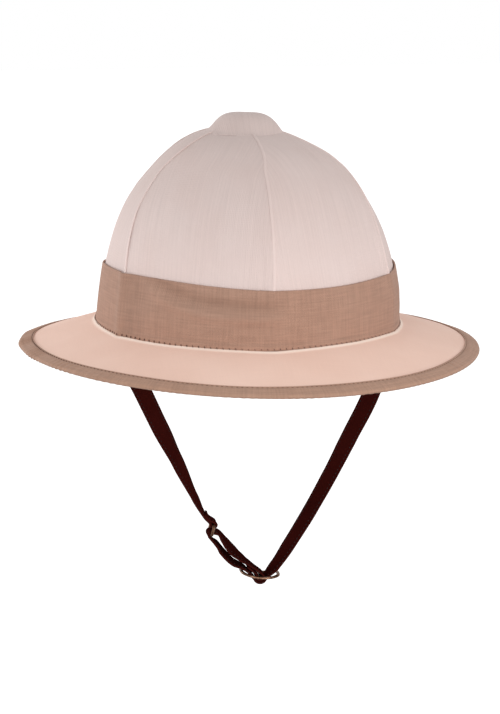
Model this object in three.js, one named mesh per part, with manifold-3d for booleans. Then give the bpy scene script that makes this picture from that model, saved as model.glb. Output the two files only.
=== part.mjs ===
// Pith helmet: a dome of six sewn gores on an oval brim, with a cap on its crown, a cotton band
// round its foot, a bound brim edge and a chin strap that joins through a ring and a slider.
// Millimetres, +Z up, the front faces -Y and +X is on the right as seen from the front.
// The origin is the centre of the head opening, in the plane of the dome's foot.
import * as THREE from "three";
import { LoftGeometry } from "three/addons/geometries/LoftGeometry.js";
import { mergeVertices } from "three/addons/utils/BufferGeometryUtils.js";
import Module from "manifold-3d";

const wasm = await Module();
wasm.setup();

// Driving dimensions.
const gap = 0.3; // clearance between pieces that touch

const crownHalfWidth = 91.2; // outside of the dome at its foot
const crownHalfLength = 106.7;
const crownHeight = 118.1; // foot to apex, without the cap
const crownWall = 3;
const crownSideFullness = 2.4; // exponent of the dome's width, 2 is an ellipse
const crownTopFullness = 2.05; // exponent of the dome's height
const crownLean = -3.2; // how far the soft apex leans in X
const goreFlatness = 0.2; // 0 is round, 1 is a flat-sided pyramid
const goreTipHalfWidth = 3; // of the small vent under the cap, where the gores' tips end

const capHalfWidth = 23.6;
const capHeight = 10.2; // above the dome's apex
const capSquareness = 2.6; // exponent of the cap's shoulder

const bandHeight = 35;
const bandThickness = 1.2;

const brimHalfWidth = 140.4; // over the binding
const brimHalfLength = 156;
const brimThickness = 2;
const brimDrop = 13.9; // mean fall from the dome's foot to the edge
const brimCurve = 1.1; // exponent of the fall, 1 is a straight slope

const bindingWidth = 8.6;
const bindingThickness = 0.9;

const strapWidth = 11;
const strapThickness = 1.4;
const strapDrop = 156; // foot plane to the slider's middle bar
const strapAnchorAzimuth = 78; // degrees from the front, on each side
const strapAnchorLap = 18; // length of strap sewn flat to the dome's wall

const sliderLength = 25;
const sliderWidth = 16.2;
const sliderRail = 1.9;
const sliderThickness = 1.5;
const sliderBow = 2.1; // rise of its two ends over its middle
const sliderTilt = -6.9; // degrees about Y
const sliderShift = 2.2; // X of its middle bar

const ringWire = 0.9; // radius of the ring's wire
const ringReach = 6.4; // between the centres of its two bars
const ringPlay = 1.2; // between the strap's edge and the wire
const ringTilt = 14; // degrees from straight down

// Steps of the faceted surfaces.
const goreSteps = 10; // across one gore
const domeSteps = 8;
const capSteps = 6;
const wireSides = 8;
const strapStep = 4; // along a strap
const turnStep = 30; // degrees round a bar

const radians = THREE.MathUtils.degToRad;

// The ring's upper bar, as shares of the dome's inside half width and of the strap's drop.
const ringPlace = { across: 0.297, down: 0.78 };

// Gores in order round the dome, the first one starting at the front seam.
const goreNames = ["front_right", "right", "back_right", "back_left", "left", "front_left"];

// The waves of the brim's edge, each a share of its mean fall.
const brimWaves = [
  { turns: 1, cosine: 0.01, sine: 0.168 },
  { turns: 2, cosine: 0.17, sine: 0.053 },
];

function solidOf(geometry) {
  const bare = new THREE.BufferGeometry().setAttribute("position", geometry.getAttribute("position"));
  const merged = mergeVertices(bare.setIndex(geometry.index), 1e-4);
  return new wasm.Manifold(
    new wasm.Mesh({
      numProp: 3,
      vertProperties: merged.attributes.position.array,
      triVerts: new Uint32Array(merged.index.array),
    }),
  );
}

function geometryOf(solid) {
  const { vertProperties, triVerts } = solid.getMesh();
  return new THREE.BufferGeometry()
    .setAttribute("position", new THREE.BufferAttribute(vertProperties, 3))
    .setIndex(new THREE.BufferAttribute(triVerts, 1));
}

const crownRatio = crownHalfLength / crownHalfWidth;
const aroundSteps = goreSteps * goreNames.length;

// Azimuths run from the front, -Y, towards +X.
const azimuths = Array.from({ length: aroundSteps }, (_, i) => (2 * Math.PI * i) / aroundSteps);

function onOval(azimuth, halfWidth, halfLength, z) {
  return new THREE.Vector3(
    halfWidth * Math.sin(azimuth),
    -halfLength * Math.cos(azimuth),
    z,
  );
}

// Dome: level 0 is its foot and PI/2 its apex. Growth moves the surface out or in.
function goreShare(azimuth, level) {
  const half = Math.PI / goreNames.length;
  const fromMiddle = ((azimuth % (2 * half)) + 2 * half) % (2 * half) - half;
  const flat = Math.cos(half) / Math.cos(fromMiddle);
  return 1 - goreFlatness * Math.sin(level) ** 2 * (1 - flat);
}

function domePoint(azimuth, level, growth = 0) {
  const wide = Math.max(0, Math.cos(level)) ** (2 / crownSideFullness);
  const high = Math.sin(level) ** (2 / crownTopFullness);
  const halfWidth = (crownHalfWidth + growth) * wide * goreShare(azimuth, level);
  const p = onOval(azimuth, halfWidth, halfWidth * crownRatio, 0);
  p.x += crownLean * high ** 3;
  p.z = gap + (crownHeight - gap + growth) * high;
  return p;
}

function levelAtHeight(z) {
  return Math.asin((z / (crownHeight - gap)) ** (crownTopFullness / 2));
}

const bandLevels = [0, 1 / 3, 2 / 3, 1].map((share) => levelAtHeight(share * bandHeight));
const capLevel = Math.acos((capHalfWidth / crownHalfWidth) ** (crownSideFullness / 2));
const capLevels = [0, 1 / 3, 2 / 3, 1].map((share) =>
  THREE.MathUtils.lerp(capLevel, Math.PI / 2, share),
);
const shoulderLevels = Array.from({ length: domeSteps - 1 }, (_, i) =>
  THREE.MathUtils.lerp(bandLevels.at(-1), capLevel, (i + 1) / domeSteps),
);
const domeLevels = [...bandLevels, ...shoulderLevels, ...capLevels];
const goreTipLevel = Math.acos((goreTipHalfWidth / crownHalfWidth) ** (crownSideFullness / 2));

// A solid that turns once round the hat. Its profile closes on itself, counterclockwise
// with the outside of the hat on the right.
function hoop(profileAt) {
  const sections = azimuths.map((azimuth) => profileAt(azimuth).reverse());
  return new LoftGeometry([...sections, sections[0]]);
}

// A solid whose profile runs from its outer apex, round its rim, to its inner apex.
function domed(profileAt) {
  const sections = azimuths.map(profileAt);
  return new LoftGeometry([...sections, sections[0]], { closed: false });
}

// Half the gap at a seam, as an azimuth.
function seamSetback(seam, level) {
  const halfWidth = crownHalfWidth * Math.cos(level) ** (2 / crownSideFullness);
  return gap / 2 / onOval(seam + Math.PI / 2, halfWidth, halfWidth * crownRatio, 0).length();
}

// Gore: a panel of the dome's wall from one seam to the next.
function goreGeometry(index) {
  const [start, end] = [index, index + 1].map((i) => (2 * Math.PI * i) / goreNames.length);
  const levels = [...domeLevels.slice(0, -1), goreTipLevel];
  const wall = (share, growth) =>
    levels.map((level) => {
      const from = start + seamSetback(start, level);
      const to = end - seamSetback(end, level);
      return domePoint(THREE.MathUtils.lerp(from, to, share), level, growth);
    });
  const sections = Array.from({ length: goreSteps + 1 }, (_, i) => [
    ...wall(i / goreSteps, 0).reverse(),
    ...wall(i / goreSteps, -crownWall),
  ]);
  return new LoftGeometry(sections, { capStart: true, capEnd: true });
}

// Cap: its underside lies on the dome, and its top is a shallow dome of its own.
function capTop(azimuth, share) {
  const rim = domePoint(azimuth, capLevel);
  const apex = domePoint(azimuth, Math.PI / 2);
  const p = rim.clone().lerp(apex, 1 - share);
  const high = (1 - share ** capSquareness) ** (1 / capSquareness);
  p.z = gap + rim.z + (apex.z + capHeight - rim.z) * high;
  return p;
}

const capShares = Array.from({ length: capSteps + 1 }, (_, i) =>
  Math.sin((Math.PI / 2) * (i / capSteps)),
);
const lift = new THREE.Vector3(0, 0, gap);
const capGeometry = domed((azimuth) => [
  ...capShares.map((share) => capTop(azimuth, share)),
  ...capLevels.slice(1).map((level) => domePoint(azimuth, level).add(lift)),
]);

// Band: a loop of cloth that follows the foot of the dome.
const bandGeometry = hoop((azimuth) => {
  const inner = bandLevels.map((level) => domePoint(azimuth, level, gap));
  const outer = bandLevels.map((level) => domePoint(azimuth, level, gap + bandThickness));
  outer.forEach((p, i) => p.setZ(inner[i].z));
  return [...outer, ...inner.reverse()];
});

// Brim: share 0 is the dome's foot and 1 the edge of the brim's own board.
const edgeInset = bindingThickness + gap;

function brimFall(azimuth) {
  const wave = brimWaves.reduce(
    (sum, w) =>
      sum + w.cosine * Math.cos(w.turns * azimuth) + w.sine * Math.sin(w.turns * azimuth),
    1,
  );
  return brimDrop * wave;
}

function brimPoint(azimuth, share, rise = 0) {
  const halfWidth = THREE.MathUtils.lerp(crownHalfWidth, brimHalfWidth - edgeInset, share);
  const halfLength = THREE.MathUtils.lerp(crownHalfLength, brimHalfLength - edgeInset, share);
  return onOval(azimuth, halfWidth, halfLength, rise - brimFall(azimuth) * share ** brimCurve);
}

// The binding's inner edge, as a share of the brim's reach at that azimuth.
function bindingShare(azimuth) {
  const reach = brimPoint(azimuth, 1).setZ(0).distanceTo(brimPoint(azimuth, 0).setZ(0));
  return 1 - (bindingWidth - edgeInset) / reach;
}

function brimShares(azimuth) {
  const inner = bindingShare(azimuth);
  return [0.25, 0.5, 0.75, 1, 1 + (1 / inner - 1) / 2, 1 / inner].map((s) => s * inner);
}

function footInside(azimuth, z) {
  const halfWidth = crownHalfWidth - crownWall;
  return onOval(azimuth, halfWidth, halfWidth * crownRatio, z);
}

const brimGeometry = hoop((azimuth) => {
  const shares = brimShares(azimuth);
  return [
    footInside(azimuth, -brimThickness),
    ...[0, ...shares].map((s) => brimPoint(azimuth, s, -brimThickness)),
    ...[0, ...shares].map((s) => brimPoint(azimuth, s)).reverse(),
    footInside(azimuth, 0),
  ];
});

// Binding: a tape folded over the brim's edge, clear of it by the gap.
const bindingGeometry = hoop((azimuth) => {
  const shares = brimShares(azimuth).slice(-3);
  const face = (rise) => shares.map((s) => brimPoint(azimuth, s, rise));
  const edge = (out, rise) => {
    const p = brimPoint(azimuth, 1, rise);
    const reach = out / Math.hypot(p.x, p.y);
    return p.set(p.x * (1 + reach), p.y * (1 + reach), p.z);
  };
  const under = -brimThickness - gap;
  const skin = bindingThickness;
  return [
    ...face(under - skin),
    edge(gap + skin * 0.6, under - skin * 0.7),
    edge(gap + skin, -brimThickness / 2),
    edge(gap + skin * 0.6, gap + skin * 0.7),
    ...face(gap + skin).reverse(),
    ...face(gap),
    edge(gap, gap * 0.5),
    edge(gap, under + gap * 0.5),
    ...face(under).reverse(),
  ];
});

// Chin strap: both halves lie in one upright plane through their anchors on the dome's wall.
const anchorAngle = radians(strapAnchorAzimuth);
const wallInside = (level) => domePoint(anchorAngle, level, -crownWall).x;
const strapPlane = domePoint(anchorAngle, 0, -crownWall).y;
const wallBelly = (strapWidth / 2) ** 2 / (2 * crownHalfLength * crownRatio);
const facetBelly = crownHalfLength * (1 - Math.cos(Math.PI / aroundSteps));
const wallClear = gap + wallBelly + facetBelly + strapThickness / 2;
const wallYaw = THREE.MathUtils.radToDeg(Math.atan(1 / Math.tan(anchorAngle) / crownRatio));

// Points of a route are [x, z, roll, yaw] in degrees. Roll 0 lays the strap's width along Y,
// and yaw turns that width about Z, as the dome's wall turns where the strap is sewn to it.
function anchorRoute(side) {
  return [1, 2 / 3, 1 / 3].map((share) => {
    const height = share * strapAnchorLap;
    return [side * (wallInside(levelAtHeight(height)) - wallClear), height, 0, side * wallYaw];
  });
}

// A turn round a bar, by angles in degrees from +X towards +Z.
function turn(centre, radius, from, to) {
  const steps = Math.round(Math.abs(to - from) / turnStep);
  return Array.from({ length: steps + 1 }, (_, i) => {
    const angle = radians(THREE.MathUtils.lerp(from, to, i / steps));
    return [centre.x + radius * Math.cos(angle), centre.z + radius * Math.sin(angle), 0];
  });
}

const footInsideHalf = crownHalfWidth - crownWall;
const hanging = (rows) => rows.map(([x, z, roll]) => [x * footInsideHalf, -z * strapDrop, roll]);

const sliderBar = { x: sliderShift, z: -strapDrop };
const ringDown = { x: -Math.sin(radians(ringTilt)), z: -Math.cos(radians(ringTilt)) };
const ringTop = { x: -ringPlace.across * footInsideHalf, z: -ringPlace.down * strapDrop };
const ringBottom = {
  x: ringTop.x + ringReach * ringDown.x,
  z: ringTop.z + ringReach * ringDown.z,
};
const ringTurn = ringWire + gap + strapThickness / 2;
const barTurn = Math.hypot(sliderRail, sliderThickness) / 2 + gap + strapThickness / 2;
const layer = strapThickness + gap;

const leftRoute = [
  ...anchorRoute(-1),
  ...hanging([
    [-0.935, 0.045, 12],
    [-0.87, 0.13, 55],
    [-0.78, 0.231, 80],
    [-0.663, 0.377, 70],
    [-0.54, 0.524, 42],
    [-0.422, 0.672, 20],
    [-0.36, 0.742, 8],
  ]),
  ...turn(ringTop, ringTurn, 170, 370),
  ...hanging([
    [-0.304, 0.75, -2],
    [-0.334, 0.718, -6],
  ]),
];

const rightRoute = [
  ...anchorRoute(1),
  ...hanging([
    [0.942, 0.07, -12],
    [0.9, 0.17, -40],
    [0.802, 0.31, -58],
    [0.671, 0.452, -50],
    [0.54, 0.594, -40],
    [0.397, 0.737, -34],
    [0.239, 0.88, -28],
    [0.138, 0.962, -18],
  ]),
  ...turn(sliderBar, barTurn + layer, -15, -165),
  ...hanging([
    [-0.059, 0.9776, 0],
    [-0.094, 0.961, -3],
    [-0.161, 0.9417, -10],
    [-0.203, 0.917, -14],
    [-0.2415, 0.8917, -13],
    [-0.2687, 0.8667, -8],
    [-0.306, 0.845, 0],
  ]),
  ...turn(ringBottom, ringTurn, 215, 35),
  ...hanging([
    [-0.261, 0.818, 4],
    [-0.23, 0.843, 13],
    [-0.198, 0.8686, 20],
    [-0.161, 0.894, 22],
    [-0.112, 0.92, 14],
    [-0.0556, 0.946, 4],
    [-0.007, 0.968, 0],
  ]),
  ...turn(sliderBar, barTurn, 60, -210),
  ...hanging([
    [-0.0193, 0.9782, 0],
    [-0.067, 0.956, 0],
  ]),
];

function strapGeometry(route) {
  const path = new THREE.CatmullRomCurve3(
    route.map(([x, z]) => new THREE.Vector3(x, 0, z)),
    false,
    "centripetal",
  );
  const stops = route.slice(1).flatMap(([x, z], leg) => {
    const pieces = Math.ceil(Math.hypot(x - route[leg][0], z - route[leg][1]) / strapStep);
    return Array.from({ length: pieces }, (_, i) => leg + i / pieces);
  });
  const sections = [...stops, route.length - 1].map((at) => {
    const leg = Math.min(Math.floor(at), route.length - 2);
    const share = at / (route.length - 1);
    const blend = (k) =>
      radians(THREE.MathUtils.lerp(route[leg][k] ?? 0, route[leg + 1][k] ?? 0, at - leg));
    const centre = path.getPoint(share).setY(strapPlane);
    const along = path.getTangent(share);
    const level = new THREE.Vector3(Math.sin(blend(3)), Math.cos(blend(3)), 0);
    const across = level.applyAxisAngle(along, blend(2));
    const through = new THREE.Vector3().crossVectors(along, across);
    return [[1, 1], [-1, 1], [-1, -1], [1, -1]].map(([w, t]) =>
      centre
        .clone()
        .addScaledVector(across, (w * strapWidth) / 2)
        .addScaledVector(through, (t * strapThickness) / 2),
    );
  });
  return new LoftGeometry(sections, { capStart: true, capEnd: true });
}

// A rounded rectangle about its own centre, as [a, b] points with every side in steps.
function roundedOutline(halfA, halfB, corner, cornerSteps = 4, sideSteps = 1) {
  const points = [];
  [[1, 1], [-1, 1], [-1, -1], [1, -1]].forEach(([sideA, sideB], quarter) => {
    const a = sideA * (halfA - corner);
    const b = sideB * (halfB - corner);
    for (let i = 0; i <= cornerSteps; i += 1) {
      const angle = (Math.PI / 2) * (quarter + i / cornerSteps);
      points.push([a + corner * Math.cos(angle), b + corner * Math.sin(angle)]);
    }
    const along = quarter % 2 === 0 ? [-2 * a, 0] : [0, -2 * b];
    const [lastA, lastB] = points.at(-1);
    for (let i = 1; i < sideSteps; i += 1) {
      points.push([lastA + (along[0] * i) / sideSteps, lastB + (along[1] * i) / sideSteps]);
    }
  });
  return points;
}

// A bar of the given section bent along a closed line. Section points are [sideways, up].
function closedBar(points, up, section) {
  const sections = points.map((here, i) => {
    const before = points.at(i - 1);
    const after = points[(i + 1) % points.length];
    const along = after.clone().sub(before).normalize();
    const side = new THREE.Vector3().crossVectors(up, along).normalize();
    const rise = new THREE.Vector3().crossVectors(along, side);
    return section.map(([s, u]) => here.clone().addScaledVector(side, s).addScaledVector(rise, u));
  });
  return new LoftGeometry([...sections, sections[0]]);
}

// Ring: round wire bent to a rounded rectangle, one bar above the other.
function ringGeometry() {
  const halfSpan = strapWidth / 2 + ringPlay + ringWire;
  const centreX = (ringTop.x + ringBottom.x) / 2;
  const centreZ = (ringTop.z + ringBottom.z) / 2;
  const points = roundedOutline(halfSpan, ringReach / 2, ringPlay + ringWire).map(
    ([across, down]) =>
      new THREE.Vector3(
        centreX + down * ringDown.x,
        strapPlane + across,
        centreZ + down * ringDown.z,
      ),
  );
  const face = new THREE.Vector3(ringDown.z, 0, -ringDown.x);
  const wire = Array.from({ length: wireSides }, (_, i) => {
    const angle = (2 * Math.PI * i) / wireSides;
    return [ringWire * Math.cos(angle), ringWire * Math.sin(angle)];
  });
  return closedBar(points, face, wire);
}

// Slider: a flat frame with bowed sides, joined across its middle by a bar.
function sliderGeometry() {
  const halfRail = sliderRail / 2;
  const halfThick = sliderThickness / 2;
  const halfLength = sliderLength / 2 - halfRail;
  const halfWidth = sliderWidth / 2 - halfRail;
  const points = roundedOutline(halfLength, halfWidth, halfWidth * 0.6, 4, 4).map(
    ([x, y]) => new THREE.Vector3(x, y, sliderBow * (x / halfLength) ** 2),
  );
  const frame = closedBar(points, new THREE.Vector3(0, 0, 1), [
    [halfRail, halfThick],
    [-halfRail, halfThick],
    [-halfRail, -halfThick],
    [halfRail, -halfThick],
  ]);
  const bar = new THREE.BoxGeometry(sliderRail, 2 * halfWidth, sliderThickness);
  return geometryOf(solidOf(frame).add(solidOf(bar)));
}

const cloth = (color) => new THREE.MeshStandardMaterial({ color, roughness: 0.9, metalness: 0 });
const crownCloth = cloth(0xe3cfc4);
const brimCloth = cloth(0xe8cdbd);
const bandCloth = cloth(0xb08c76);
const bindingCloth = cloth(0xa98570);
const strapLeather = new THREE.MeshStandardMaterial({ color: 0x3a1815, roughness: 0.45 });
const brass = new THREE.MeshStandardMaterial({ color: 0xb08d57, roughness: 0.35, metalness: 1 });

function piece(name, geometry, material) {
  const mesh = new THREE.Mesh(geometry, material);
  mesh.name = name;
  return mesh;
}

const slider = piece("strap_slider", sliderGeometry(), brass);
slider.position.set(sliderBar.x, strapPlane, sliderBar.z);
slider.rotation.y = -radians(sliderTilt);

const helmet = new THREE.Group();
helmet.add(
  ...goreNames.map((name, i) => piece(`crown_gore_${name}`, goreGeometry(i), crownCloth)),
  piece("crown_cap", capGeometry, crownCloth),
  piece("brim", brimGeometry, brimCloth),
  piece("hat_band", bandGeometry, bandCloth),
  piece("brim_binding", bindingGeometry, bindingCloth),
  piece("chin_strap_left", strapGeometry(leftRoute), strapLeather),
  piece("chin_strap_right", strapGeometry(rightRoute), strapLeather),
  piece("strap_ring", ringGeometry(), brass),
  slider,
);

export default helmet;
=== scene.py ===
"""Finishes a pith helmet on its solids: six sewn gores, cap, band, bound brim and chin strap."""
import math
from bisect import bisect_right

import bmesh
import bpy
from bpy.props import FloatProperty, FloatVectorProperty, PointerProperty
from mathutils import Matrix, Vector, noise


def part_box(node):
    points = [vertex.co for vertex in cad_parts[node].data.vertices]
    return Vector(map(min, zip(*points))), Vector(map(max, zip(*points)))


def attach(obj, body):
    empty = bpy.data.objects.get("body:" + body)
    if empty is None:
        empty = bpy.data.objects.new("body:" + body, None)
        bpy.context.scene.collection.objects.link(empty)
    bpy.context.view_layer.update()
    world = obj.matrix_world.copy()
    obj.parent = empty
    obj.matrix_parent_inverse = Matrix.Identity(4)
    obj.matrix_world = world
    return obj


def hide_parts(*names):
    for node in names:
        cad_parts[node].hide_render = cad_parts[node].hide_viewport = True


bl_info = {
    "name": "Pith Helmet",
    "version": (1, 0, 0),
    "blender": (4, 5, 0),
    "location": "View3D > Sidebar > Helmet",
    "description": "Builds the cloth, stitching, leather and brass of a pith helmet on its solids",
    "category": "Object",
}

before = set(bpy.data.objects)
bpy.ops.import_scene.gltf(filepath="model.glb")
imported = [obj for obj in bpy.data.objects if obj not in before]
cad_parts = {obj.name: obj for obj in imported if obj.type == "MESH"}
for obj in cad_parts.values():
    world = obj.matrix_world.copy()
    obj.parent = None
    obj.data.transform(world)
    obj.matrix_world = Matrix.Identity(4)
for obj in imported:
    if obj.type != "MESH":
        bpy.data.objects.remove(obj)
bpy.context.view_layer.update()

MM = 0.001
TURN = 2 * math.pi
GORE_SPAN = math.radians(60)

# Outside of the dome at its foot, and its apex, from the solids.
HALF_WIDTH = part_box("crown_gore_right")[1].x
HALF_LENGTH = -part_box("crown_gore_front_left")[0].y
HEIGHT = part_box("crown_gore_left")[1].z
OVAL = HALF_LENGTH / HALF_WIDTH
BRIM_HALF_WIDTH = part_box("brim")[1].x
BRIM_HALF_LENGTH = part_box("brim")[1].y

# Exponents of the dome's width and height, which make it fuller than an ellipse.
DOME_WIDE = 2 / 2.4
DOME_HIGH = 2 / 2.05

# How the soft dome leaves its oval. Its X leans by its height, by the square of that and by its
# nearness to the foot, where it is also slimmer by the slack. Two dips draw it in, the
# shoulder's on the left and the cap's on the right. Each has its height as a share of the
# dome's, its spread and its depth.
LEAN = (4.4 * MM, -7.7 * MM, -0.9 * MM)
FOOT_SLACK = 0.8 * MM
SHOULDER_DIP = (0.8, 0.13, 1.1 * MM)
CAP_DIP = (0.94, 0.05, 1.1 * MM)

# Length of a gore's cloth from its foot to its tip.
GORE_ARC = 150 * MM

# Exponent of the brim's fall: 1 is a straight slope.
BRIM_CURVE = 1.1

# The slanting fold in the band: its two ends and where it starts to droop, in degrees.
FOLD_START, FOLD_DROOP, FOLD_END = -56, -20, -6

# The binding: half the board's thickness where the tape is sewn over it, the share of the
# tape's thickness that is left once it is pressed, and its stitches' place from its inner edge.
SEWN_HALF = 0.62 * MM
PRESSED = 0.75
STITCH_INSET = 1.1 * MM

# Each gore and the seam on its left, seen from outside: the seam's azimuth in degrees at the
# foot, the middle and the shoulder of the dome, and its further turn under the cap.
GORES = (
    ("front_right", 0.0, 0.8, 1.5, 6.5),
    ("right", 56.0, 56.6, 66.0, 0.0),
    ("back_right", 118.0, 120.0, 122.0, 0.0),
    ("back_left", 180.0, 180.0, 180.0, 0.0),
    ("left", 240.0, 240.0, 239.0, -6.0),
    ("front_left", 298.4, 296.4, 293.0, 8.0),
)

# Chin strap routes from the photograph's centre lines: X as a share of the dome's inside half
# width, depth as a share of the strap's drop, and roll in degrees.
LEFT_ARM = (
    (-0.935, 0.045, 12),
    (-0.87, 0.13, 55),
    (-0.78, 0.231, 80),
    (-0.663, 0.377, 70),
    (-0.54, 0.524, 42),
    (-0.422, 0.672, 20),
    (-0.36, 0.742, 8),
)
LEFT_END = ((-0.331, 0.756, -4), (-0.35, 0.735, -9))
RIGHT_ARM = (
    (0.942, 0.07, -12),
    (0.9, 0.17, -40),
    (0.802, 0.31, -58),
    (0.671, 0.452, -50),
    (0.54, 0.594, -40),
    (0.397, 0.737, -34),
    (0.239, 0.88, -28),
    (0.138, 0.962, -18),
)
OUTER_LAYER = (
    (-0.059, 0.9776, 0),
    (-0.094, 0.961, -3),
    (-0.161, 0.9417, -10),
    (-0.203, 0.917, -14),
    (-0.2415, 0.8917, -13),
    (-0.2687, 0.8667, -8),
    (-0.306, 0.845, 0),
)
INNER_LAYER = (
    (-0.261, 0.818, 4),
    (-0.23, 0.843, 13),
    (-0.198, 0.8686, 20),
    (-0.161, 0.894, 22),
    (-0.112, 0.92, 14),
    (-0.0556, 0.946, 4),
    (-0.007, 0.968, 0),
)
RIGHT_END = ((-0.0193, 0.9782, 0), (-0.067, 0.956, 0))

# Where the strap is sewn to the dome, and how its ring and slider hang.
STRAP_AZIMUTH = math.radians(78)
ANCHOR_HEIGHTS = (18 * MM, 12 * MM, 6 * MM)
RING_PLACE = (-0.297, 0.78)
RING_TILT = math.radians(14)
SLIDER_SHIFT = 2.2 * MM
SLIDER_TILT = math.radians(6.9)

# The photograph's view: azimuth, elevation and roll in degrees, the camera's distance and lens,
# and how far the middle of the picture lies from the origin, to the right and down.
VIEW = (-7.98, 10.23, -0.55)
VIEW_DISTANCE = 1300 * MM
VIEW_MIDDLE = (0.8 * MM, 22.5 * MM)
LENS = 106.6

WHITE = (1.0, 1.0, 1.0, 1.0)


def length(name, description, millimetres):
    return FloatProperty(
        name=name,
        description=description,
        default=millimetres * MM,
        min=0.0,
        precision=4,
        unit="LENGTH",
        subtype="DISTANCE",
    )


def colour(name, description, red, green, blue):
    """A colour property given as the eye sees it, 0 to 255, and held as linear light."""
    linear = [(value / 255) ** 2.2 for value in (red, green, blue)]
    return FloatVectorProperty(
        name=name,
        description=description,
        default=linear,
        min=0.0,
        max=1.0,
        size=3,
        subtype="COLOR",
    )


class HelmetSizes(bpy.types.PropertyGroup):
    seam_gap: length("Seam gap", "Clearance between pieces that touch", 0.3)
    gore_wall: length("Gore wall", "Thickness of the dome's foam and cloth", 3.0)
    gore_flatness: FloatProperty(
        name="Gore flatness",
        description="How flat each gore is at the shoulder, 0 for a round dome",
        default=0.4,
        min=0.0,
        max=1.0,
    )
    seam_corner: FloatProperty(
        name="Seam corner",
        description="How far the gores meet in a corner at their seams",
        default=0.3,
        min=0.0,
        max=0.8,
    )
    welt_width: length("Welt width", "Width of the raised cord along each seam", 1.8)
    welt_height: length("Welt height", "Height of the raised cord along each seam", 0.9)
    allowance_rise: length("Allowance rise", "Step of the seam allowance under the cloth", 0.3)
    cap_height: length("Cap height", "Rise of the cap over the dome's apex", 8.6)
    cap_reach: length("Cap reach", "Half width of the cap at its foot", 26.4)
    band_height: length("Band height", "Height of the cotton band", 35.0)
    band_cloth: length("Band thickness", "Thickness of the cotton band", 1.2)
    brim_board: length("Brim thickness", "Thickness of the brim board and its cloth", 2.0)
    brim_drop: length("Brim drop", "Mean fall of the brim from the dome to its edge", 13.9)
    binding_width: length("Binding width", "Width of the tape on each face of the brim", 8.6)
    binding_tape: length("Binding thickness", "Thickness of the tape over the edge", 0.9)
    strap_width: length("Strap width", "Width of the chin strap", 11.0)
    strap_leather: length("Strap thickness", "Thickness of the chin strap", 1.4)
    strap_drop: length("Strap drop", "From the dome's foot to the slider's bar", 156.0)
    slider_length: length("Slider length", "Length of the brass slider", 25.0)
    slider_width: length("Slider width", "Width of the brass slider", 16.2)
    slider_rail: length("Slider rail", "Width of the slider's frame", 1.9)
    slider_plate: length("Slider thickness", "Thickness of the slider", 1.5)
    slider_bow: length("Slider bow", "Rise of the slider's ends over its middle", 2.1)
    ring_wire: length("Ring wire", "Radius of the ring's wire", 0.9)
    ring_reach: length("Ring reach", "Between the centres of the ring's two bars", 6.4)
    ring_play: length("Ring play", "Room beside the strap inside the ring", 1.2)
    hem_pitch: length("Hem pitch", "Distance between stitches on the band's hem", 3.9)
    binding_pitch: length("Binding pitch", "Distance between stitches on the binding", 3.0)
    strap_pitch: length("Strap pitch", "Distance between stitches on the chin strap", 2.6)


class HelmetColours(bpy.types.PropertyGroup):
    crown: colour("Crown cloth", "Ribbed cloth of the dome and cap", 230, 211, 206)
    brim: colour("Brim cloth", "Smooth cloth of the brim", 250, 214, 197)
    band: colour("Band cloth", "Cotton of the band", 183, 145, 126)
    binding: colour("Binding cloth", "Cotton tape on the brim's edge", 188, 150, 129)
    # Painted highlight: the pale line where the brim's cloth turns up under the band.
    fillet_highlight: colour("Brim fillet", "Pale fold of cloth at the band's foot", 255, 234, 219)
    thread: colour("Thread", "Stitching of the band and binding", 96, 66, 54)
    leather: colour("Leather", "Face of the chin strap", 46, 19, 17)
    leather_edge: colour("Leather edge", "Cut edges of the chin strap", 62, 27, 24)
    strap_thread: colour("Strap thread", "Stitching of the chin strap", 24, 9, 8)
    brass: colour("Brass", "Worn face of the ring and slider", 130, 100, 82)
    patina: colour("Patina", "Darkened hollows of the ring and slider", 62, 40, 29)
    floor: colour("Floor", "Studio floor", 190, 190, 190)


def sizes():
    return bpy.context.scene.helmet_sizes


def lerp(start, end, share):
    return start + (end - start) * share


def smooth(value, low=0.0, high=1.0):
    """0 below low and 1 above high, with an even curve between."""
    share = min(max((value - low) / (high - low), 0.0), 1.0)
    return share * share * (3 - 2 * share)


def bunch(share, ends):
    """Spreads rows from 0 to 1 so that those at both ends are as fine as ends."""
    return share - (1 - ends) / TURN * math.sin(TURN * share)


def there_and_back(v, ends):
    """A share that runs from 0 to 1 and back while v does so once, and whether it runs out."""
    return bunch(2 * v if v <= 0.5 else 2 - 2 * v, ends), v <= 0.5


def bell(distance, width):
    return math.exp(-((distance / width) ** 2))


def around(azimuth, centre):
    """Degrees from centre to azimuth, by the short way."""
    return (math.degrees(azimuth) - centre + 180) % 360 - 180


def wave(azimuth, mean, cosine, sine, cosine_twice, sine_twice):
    """A height in millimetres that rolls once and twice round the hat, in metres."""
    height = mean + cosine * math.cos(azimuth) + sine * math.sin(azimuth)
    height += cosine_twice * math.cos(2 * azimuth) + sine_twice * math.sin(2 * azimuth)
    return height * MM


def rough(point, scale, seed=0.0):
    """Smooth noise from -1 to 1, with features of the given length."""
    return noise.noise(point / scale + Vector((seed, seed, seed)))


def oval(azimuth, half_width, half_length, z=0.0):
    return Vector((half_width * math.sin(azimuth), -half_length * math.cos(azimuth), z))


def squircle(turn, half_a, half_b, fullness):
    """A point on a rounded rectangle: fullness 2 is an ellipse, and more is squarer."""
    a = math.cos(TURN * turn)
    b = math.sin(TURN * turn)
    power = 2 / fullness
    return (
        half_a * math.copysign(abs(a) ** power, a),
        half_b * math.copysign(abs(b) ** power, b),
    )


def rolled(distance, radius):
    """The height, from 0 to 1, of a round edge at a distance from its rim."""
    inside = 1 - min(max(distance / radius, 0.0), 1.0)
    return math.sqrt(1 - inside * inside)


def new_mesh(*marks):
    """An empty mesh with a cloth map and a layer for each mark that a finish reads."""
    mesh = bmesh.new()
    mesh.loops.layers.uv.new("Cloth")
    for mark in marks:
        mesh.verts.layers.float.new(mark)
    return mesh


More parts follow.
